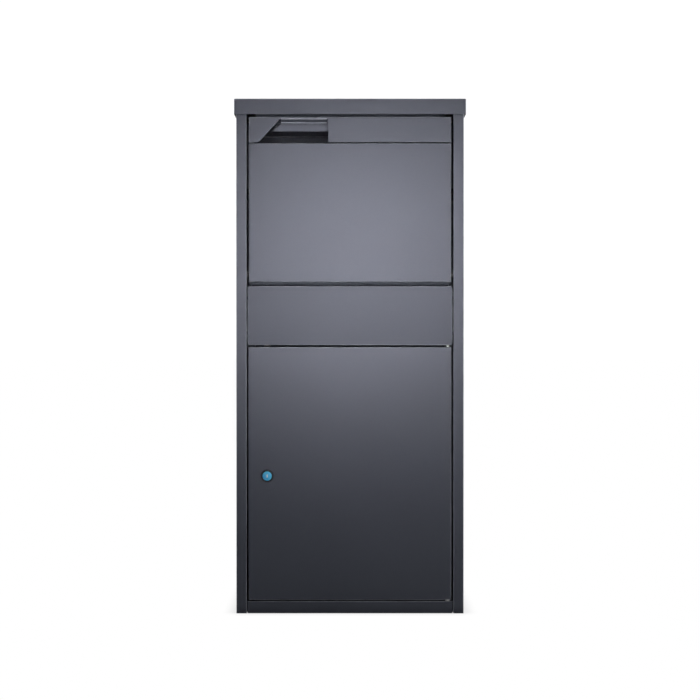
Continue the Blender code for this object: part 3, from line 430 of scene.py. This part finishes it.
def add_piece(name, mesh_data, node, material=None):
    """Links a piece that stands for a CAD node and moves with the node's body."""
    piece = linked_object(name, mesh_data)
    mesh_data.materials.clear()
    mesh_data.materials.append(material or LOOKS[SLOT_OF[node]])
    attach(piece, BODY_OF[node])
    return piece


def bake(piece):
    """Replaces a piece's mesh by what its modifiers make of it."""
    bpy.context.view_layer.update()
    graph = bpy.context.evaluated_depsgraph_get()
    baked = bpy.data.meshes.new_from_object(piece.evaluated_get(graph), depsgraph=graph)
    piece.modifiers.clear()
    piece.data = baked
    return piece


def is_rim(face):
    """True for the cut edge of a sheet and for any other very narrow or very small face."""
    return face.calc_area() < max(RIM_SLENDERNESS * face.calc_perimeter(), SMALL_FACE)


def flat_regions(work):
    """Groups of neighbouring faces that lie in one plane."""
    groups = []
    left = set(work.faces)
    for face in work.faces:
        if face not in left:
            continue
        left.discard(face)
        group = [face]
        waiting = [face]
        while waiting:
            here = waiting.pop()
            for edge in here.edges:
                for other in edge.link_faces:
                    if other in left and other.normal.angle(here.normal, 1.0) < FLAT_ANGLE:
                        left.discard(other)
                        group.append(other)
                        waiting.append(other)
        groups.append(group)
    return groups


def is_level(face):
    """True if all corners of the face lie in one plane."""
    start = face.verts[0].co
    return all(abs((vert.co - start).dot(face.normal)) < LEVEL_TOLERANCE for vert in face.verts)


def refill_flats(work):
    """Fills each flat region anew from its outline and holes, and splits every face of many corners."""
    bmesh.ops.dissolve_degenerate(work, dist=SAME_POINT, edges=work.edges)
    for group in flat_regions(work):
        if len(group) == 1 and len(group[0].verts) <= 4:
            continue
        members = set(group)
        facing = sum((face.normal * face.calc_area() for face in group), Vector()).normalized()
        edges = list(dict.fromkeys(edge for face in group for edge in face.edges))
        inside = [edge for edge in edges if all(face in members for face in edge.link_faces)]
        outline = [edge for edge in edges if any(face not in members for face in edge.link_faces)]
        corners = [list(face.verts) for face in group]
        bmesh.ops.delete(work, geom=group, context="FACES_ONLY")
        bmesh.ops.delete(work, geom=inside, context="EDGES")
        filled = bmesh.ops.triangle_fill(work, use_beauty=True, edges=outline, normal=facing)["geom"]
        filled = [item for item in filled if isinstance(item, bmesh.types.BMFace)]
        touched = outline + [edge for face in filled for edge in face.edges]
        if any(len(edge.link_faces) != 2 for edge in touched):
            bmesh.ops.delete(work, geom=filled, context="FACES_ONLY")
            filled = [work.faces.new(verts) for verts in corners]
        for face in filled:
            face.normal_update()
            if face.normal.dot(facing) < 0:
                face.normal_flip()
    wires = [edge for edge in work.edges if not edge.link_faces]
    bmesh.ops.delete(work, geom=wires, context="EDGES")
    bmesh.ops.poke(work, faces=[face for face in work.faces if len(face.verts) > 4])
    uneven = [face for face in work.faces if not is_level(face)]
    bmesh.ops.triangulate(work, faces=uneven, quad_method="SHORT_EDGE")
    flaps = [face for face in work.faces if sum(len(edge.link_faces) == 1 for edge in face.edges) > 1]
    bmesh.ops.delete(work, geom=flaps, context="FACES")
    slits = [edge for edge in work.edges if len(edge.link_faces) == 1]
    bmesh.ops.holes_fill(work, edges=slits, sides=4)
    loose = [vert for vert in work.verts if not vert.link_faces]
    bmesh.ops.delete(work, geom=loose, context="VERTS")
    work.normal_update()


def fold_normals(work):
    """A normal for each corner: even on the flats and turning smoothly across the folds."""
    region_of = {}
    for index, group in enumerate(flat_regions(work)):
        area = sum(face.calc_area() for face in group)
        for face in group:
            region_of[face] = (index, area)
    normals = []
    for face in work.faces:
        for corner in face.loops:
            around = {}
            for other in corner.vert.link_faces:
                if other.normal.angle(face.normal, math.pi) < SHARP_ANGLE:
                    index, area = region_of[other]
                    around[index] = other.normal * area
            blend = sum(around.values(), Vector())
            normals.append(blend.normalized() if blend.length else face.normal.copy())
    return normals


def folded_sheet(node):
    """Gives a CAD sheet its bend radii, inside and outside. Its cut edges stay square."""
    work = merged_copy(node)
    weight = work.edges.layers.float.new("bevel_weight_edge")
    inner_share = INNER_FOLD_RADIUS / FOLD_RADIUS
    for edge in work.edges:
        if len(edge.link_faces) != 2 or edge.calc_face_angle(0) < FOLD_ANGLE:
            continue
        if any(is_rim(face) for face in edge.link_faces):
            continue
        edge[weight] = 1.0 if edge.is_convex else inner_share
    mesh_data = finished_mesh(work, f"{node}_sheet")
    piece = add_piece(f"{node}_sheet", mesh_data, node, PANEL_COATS.get(node))
    # Second material for the fold faces, paler as a painted highlight
    mesh_data.materials.append(FOLD_HIGHLIGHT_COAT)
    folds = piece.modifiers.new("folds", "BEVEL")
    folds.material = 1
    folds.limit_method = "WEIGHT"
    folds.width = FOLD_RADIUS
    folds.segments = FOLD_STEPS
    folds.use_clamp_overlap = False
    bake(piece)
    work = bmesh.new()
    work.from_mesh(piece.data)
    refill_flats(work)
    normals = fold_normals(work)
    work.to_mesh(piece.data)
    work.free()
    piece.data.shade_smooth()
    piece.data.normals_split_custom_set(normals)
    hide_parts(node)
    return piece


def softened_solid(node, width):
    """A CAD solid with all its sharp edges rounded off."""
    mesh_data = finished_mesh(merged_copy(node), f"{node}_part")
    piece = add_piece(f"{node}_part", mesh_data, node)
    bevel = piece.modifiers.new("edges", "BEVEL")
    bevel.limit_method = "ANGLE"
    bevel.angle_limit = SOFT_ANGLE
    bevel.width = width
    bevel.segments = SOFT_STEPS
    bevel.use_clamp_overlap = True
    bake(piece)
    shade(piece)
    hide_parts(node)
    return piece


def ring_key(point, centre, axis):
    """Height and radius of a point about an axis, rounded to a micrometre."""
    height = (point - centre).dot(axis)
    radius = (point - centre - axis * height).length
    return round(height, 6), round(radius, 6)


def turned_profile(node):
    """Axis, centre and section (radius, height) of a turned CAD node, read from its rings of corners."""
    work = merged_copy(node)
    widest = max(work.faces, key=lambda face: (len(face.verts), face.calc_area()))
    axis = widest.normal.copy()
    centre = sum((vert.co for vert in work.verts), Vector()) / len(work.verts)
    rings = {}
    for vert in work.verts:
        rings.setdefault(ring_key(vert.co, centre, axis), []).append(vert)
    rings = {key: verts for key, verts in rings.items() if len(verts) >= LEAST_RING}
    links = {key: set() for key in rings}
    for edge in work.edges:
        first, second = (ring_key(vert.co, centre, axis) for vert in edge.verts)
        if first != second and first in rings and second in rings:
            links[first].add(second)
            links[second].add(first)
    work.free()
    ends = sorted(key for key in links if len(links[key]) == 1)
    chain = [ends[0] if ends else min(links)]
    while len(chain) < len(links):
        onward = sorted(key for key in links[chain[-1]] if key not in chain)
        chain.append(onward[0])
    section = [(radius, height) for height, radius in chain]
    if ends:
        section = [(0.0, section[0][1]), *section, (0.0, section[-1][1])]
    return axis, centre, section, not ends


def rounded_section(section, closed, width):
    """The section with a small arc of three points at each corner away from the axis."""
    count = len(section)
    points = []
    for index, corner in enumerate(section):
        if not closed and index in (0, count - 1):
            points.append(corner)
            continue
        here = Vector(corner)
        before = Vector(section[index - 1])
        after = Vector(section[(index + 1) % count])
        reach = min(width, 0.35 * (before - here).length, 0.35 * (after - here).length)
        start = here + (before - here).normalized() * reach
        end = here + (after - here).normalized() * reach
        middle = (start + end) * 0.15 + here * 0.7
        points += [tuple(start), tuple(middle * 0.55 + (start + end) * 0.225), tuple(end)]
    return points


def lathe(name, axis, centre, section, closed):
    """A solid of revolution about an axis, with its section's points joined by many short faces."""
    side = axis.orthogonal().normalized()
    up = axis.cross(side)
    work = bmesh.new()
    columns = []
    for step in range(TURNED_STEPS):
        angle = 2 * math.pi * step / TURNED_STEPS
        spoke = side * math.cos(angle) + up * math.sin(angle)
        columns.append([work.verts.new(centre + axis * h + spoke * r) for r, h in section])
    rows = list(range(len(section)))
    pairs = list(zip(rows, rows[1:])) + ([(rows[-1], 0)] if closed else [])
    for column, following in zip(columns, columns[1:] + columns[:1]):
        for low, high in pairs:
            work.faces.new([column[low], following[low], following[high], column[high]])
    bmesh.ops.remove_doubles(work, verts=work.verts, dist=SAME_POINT)
    bmesh.ops.recalc_face_normals(work, faces=work.faces)
    return finished_mesh(work, name)


def turned_piece(node, width, keyway=None):
    """Stands for a turned CAD node with a finer one of the same section and rounded edges."""
    axis, centre, section, closed = turned_profile(node)
    mesh_data = lathe(f"{node}_turned", axis, centre, rounded_section(section, closed, width), closed)
    piece = add_piece(f"{node}_turned", mesh_data, node)
    if keyway:
        cut = piece.modifiers.new("keyway", "BOOLEAN")
        cut.object = keyway
        cut.solver = "EXACT"
        bake(piece)
    shade(piece)
    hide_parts(node)
    return piece


def shade(piece):
    """Smooth shading with sharp edges kept, and even shading on the flats."""
    piece.data.shade_smooth()
    piece.data.set_sharp_from_angle(angle=SHARP_ANGLE)
    normals = piece.modifiers.new("face_normals", "WEIGHTED_NORMAL")
    normals.keep_sharp = True
    bake(piece)


def slot_solid(name, centre, half_width, half_height, front, back):
    """An upright slot shape with round ends, between two depths."""
    work = bmesh.new()
    outline = []
    straight = half_height - half_width
    for lift, turn in ((straight, 0), (-straight, math.pi)):
        for step in range(KEYWAY_ARC_STEPS + 1):
            angle = turn + math.pi * step / KEYWAY_ARC_STEPS
            x = centre.x + half_width * math.cos(angle)
            outline.append((x, centre.z + lift + half_width * math.sin(angle)))
    face = work.faces.new([work.verts.new((x, front, z)) for x, z in outline])
    pushed = bmesh.ops.extrude_face_region(work, geom=[face])["geom"]
    moved = [item for item in pushed if isinstance(item, bmesh.types.BMVert)]
    bmesh.ops.translate(work, vec=(0, back - front, 0), verts=moved)
    bmesh.ops.recalc_face_normals(work, faces=work.faces)
    return finished_mesh(work, name)


def build_lock_face():
    """Disc and plug with a round-ended keyway, and the spring shutter that closes it against dust."""
    low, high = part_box("lock_face_disc")
    centre = (low + high) / 2
    cutter_mesh = slot_solid(
        "keyway",
        centre,
        KEYWAY_HALF_WIDTH,
        KEYWAY_HALF_HEIGHT,
        low.y - KEYWAY_LEAD,
        low.y + KEYWAY_DEPTH,
    )
    cutter = linked_object("keyway", cutter_mesh)
    for node in LOCK_FACE:
        turned_piece(node, TURNED_EDGE_RADIUS, keyway=cutter)
    bpy.data.objects.remove(cutter)
    shutter_mesh = slot_solid(
        "lock_dust_shutter",
        centre,
        KEYWAY_HALF_WIDTH - SHUTTER_CLEARANCE,
        KEYWAY_HALF_HEIGHT - SHUTTER_CLEARANCE,
        low.y + SHUTTER_RECESS,
        low.y + SHUTTER_DEPTH,
    )
    shutter = add_piece("lock_dust_shutter", shutter_mesh, "lock_plug", LOOKS["shutter"])
    bevel = shutter.modifiers.new("edges", "BEVEL")
    bevel.width = SHUTTER_EDGE_RADIUS
    bevel.segments = SOFT_STEPS
    bake(shutter)
    shade(shutter)


# ---------------------------------------------------------------- stage


def plain_stage():
    """Plain near-white floor that glows evenly for the camera, with a painted contact shadow where the
    box stands on it.
    """
    work = bmesh.new()
    bmesh.ops.create_grid(work, x_segments=1, y_segments=1, size=FLOOR_SIZE)
    floor_mesh = finished_mesh(work, "floor")
    floor = linked_object("studio_floor", floor_mesh)
    floor.location.z = CAD_BOX[0].z - FLOOR_DROP
    material = bpy.data.materials.new("studio_floor")
    material.use_nodes = True
    tree = material.node_tree
    tree.nodes.remove(tree.nodes["Principled BSDF"])
    # Painted contact shadow: ambient occlusion near the box turns the floor's glow down.
    contact = tree.nodes.new("ShaderNodeAmbientOcclusion")
    contact.samples = CONTACT_SAMPLES
    contact.inputs["Distance"].default_value = CONTACT_REACH
    painted_contact_shadow = add_range(tree, contact.outputs["AO"], *CONTACT_OPENNESS, *CONTACT_TONE)
    floor_glow = tree.nodes.new("ShaderNodeEmission")
    tree.links.new(painted_contact_shadow, floor_glow.inputs["Strength"])
    dim = tree.nodes.new("ShaderNodeBsdfDiffuse")
    dim.inputs["Color"].default_value = (0.45, 0.45, 0.46, 1.0)
    path = tree.nodes.new("ShaderNodeLightPath")
    mix = tree.nodes.new("ShaderNodeMixShader")
    tree.links.new(path.outputs["Is Camera Ray"], mix.inputs["Fac"])
    tree.links.new(dim.outputs["BSDF"], mix.inputs[1])
    tree.links.new(floor_glow.outputs["Emission"], mix.inputs[2])
    tree.links.new(mix.outputs["Shader"], tree.nodes["Material Output"].inputs["Surface"])
    floor_mesh.materials.append(material)


def surround():
    """White behind the object. What it mirrors is dark in front of it and pale at its sides and back."""
    world = bpy.data.worlds.new("surround")
    world.use_nodes = True
    tree = world.node_tree
    back = tree.nodes["Background"]
    back.inputs["Color"].default_value = (0.96, 0.97, 1.0, 1.0)
    outward = tree.nodes.new("ShaderNodeSeparateXYZ")
    tree.links.new(tree.nodes.new("ShaderNodeTexCoord").outputs["Generated"], outward.inputs["Vector"])
    behind = add_range(tree, outward.outputs["Y"], *SURROUND_FADE, SURROUND_FRONT, SURROUND_SIDES)
    tree.links.new(behind, back.inputs["Strength"])
    white = tree.nodes.new("ShaderNodeBackground")
    white.inputs["Color"].default_value = (1.0, 1.0, 1.0, 1.0)
    white.inputs["Strength"].default_value = SURROUND_WHITE
    path = tree.nodes.new("ShaderNodeLightPath")
    mix = tree.nodes.new("ShaderNodeMixShader")
    tree.links.new(path.outputs["Is Camera Ray"], mix.inputs["Fac"])
    tree.links.new(back.outputs["Background"], mix.inputs[1])
    tree.links.new(white.outputs["Background"], mix.inputs[2])
    tree.links.new(mix.outputs["Shader"], tree.nodes["World Output"].inputs["Surface"])
    bpy.context.scene.world = world


def add_light(name, place, aim, width, height, power, spread):
    """A rectangular softbox. A spread below 180 degrees is a grid over it."""
    light = bpy.data.lights.new(name, "AREA")
    light.shape = "RECTANGLE"
    light.size = width
    light.size_y = height
    light.energy = power
    light.spread = math.radians(spread)
    lamp = linked_object(name, light)
    lamp.location = place
    lamp.rotation_mode = "QUATERNION"
    lamp.rotation_quaternion = (Vector(aim) - Vector(place)).to_track_quat("-Z", "Y")
    lamp.visible_camera = False


def add_camera():
    """A long lens in front of the box, slightly above half height and tilted down a little."""
    low, high = CAD_BOX
    data = bpy.data.cameras.new("camera")
    data.lens = CAMERA_LENS
    data.sensor_width = CAMERA_SENSOR
    camera = linked_object("camera", data)
    aim = Vector((0.0, low.y, CAMERA_AIM_SHARE * high.z))
    backward = Vector((0.0, -math.cos(CAMERA_TILT), math.sin(CAMERA_TILT)))
    camera.location = aim + CAMERA_DISTANCE * backward
    camera.rotation_mode = "QUATERNION"
    camera.rotation_quaternion = (aim - camera.location).to_track_quat("-Z", "Y")
    bpy.context.scene.camera = camera


for sheet_node in SHEETS:
    folded_sheet(sheet_node)
for solid_node in NUTS_AND_CAM:
    softened_solid(solid_node, SOLID_EDGE_RADIUS)
build_lock_face()
for turned_node in sorted(set(frame["nodes"]) - set(SHEETS) - set(NUTS_AND_CAM) - set(LOCK_FACE)):
    turned_piece(turned_node, TURNED_EDGE_RADIUS)

plain_stage()
surround()
for softbox in SOFTBOXES:
    add_light(*softbox)
add_camera()
bpy.context.scene.view_settings.view_transform = "Standard"
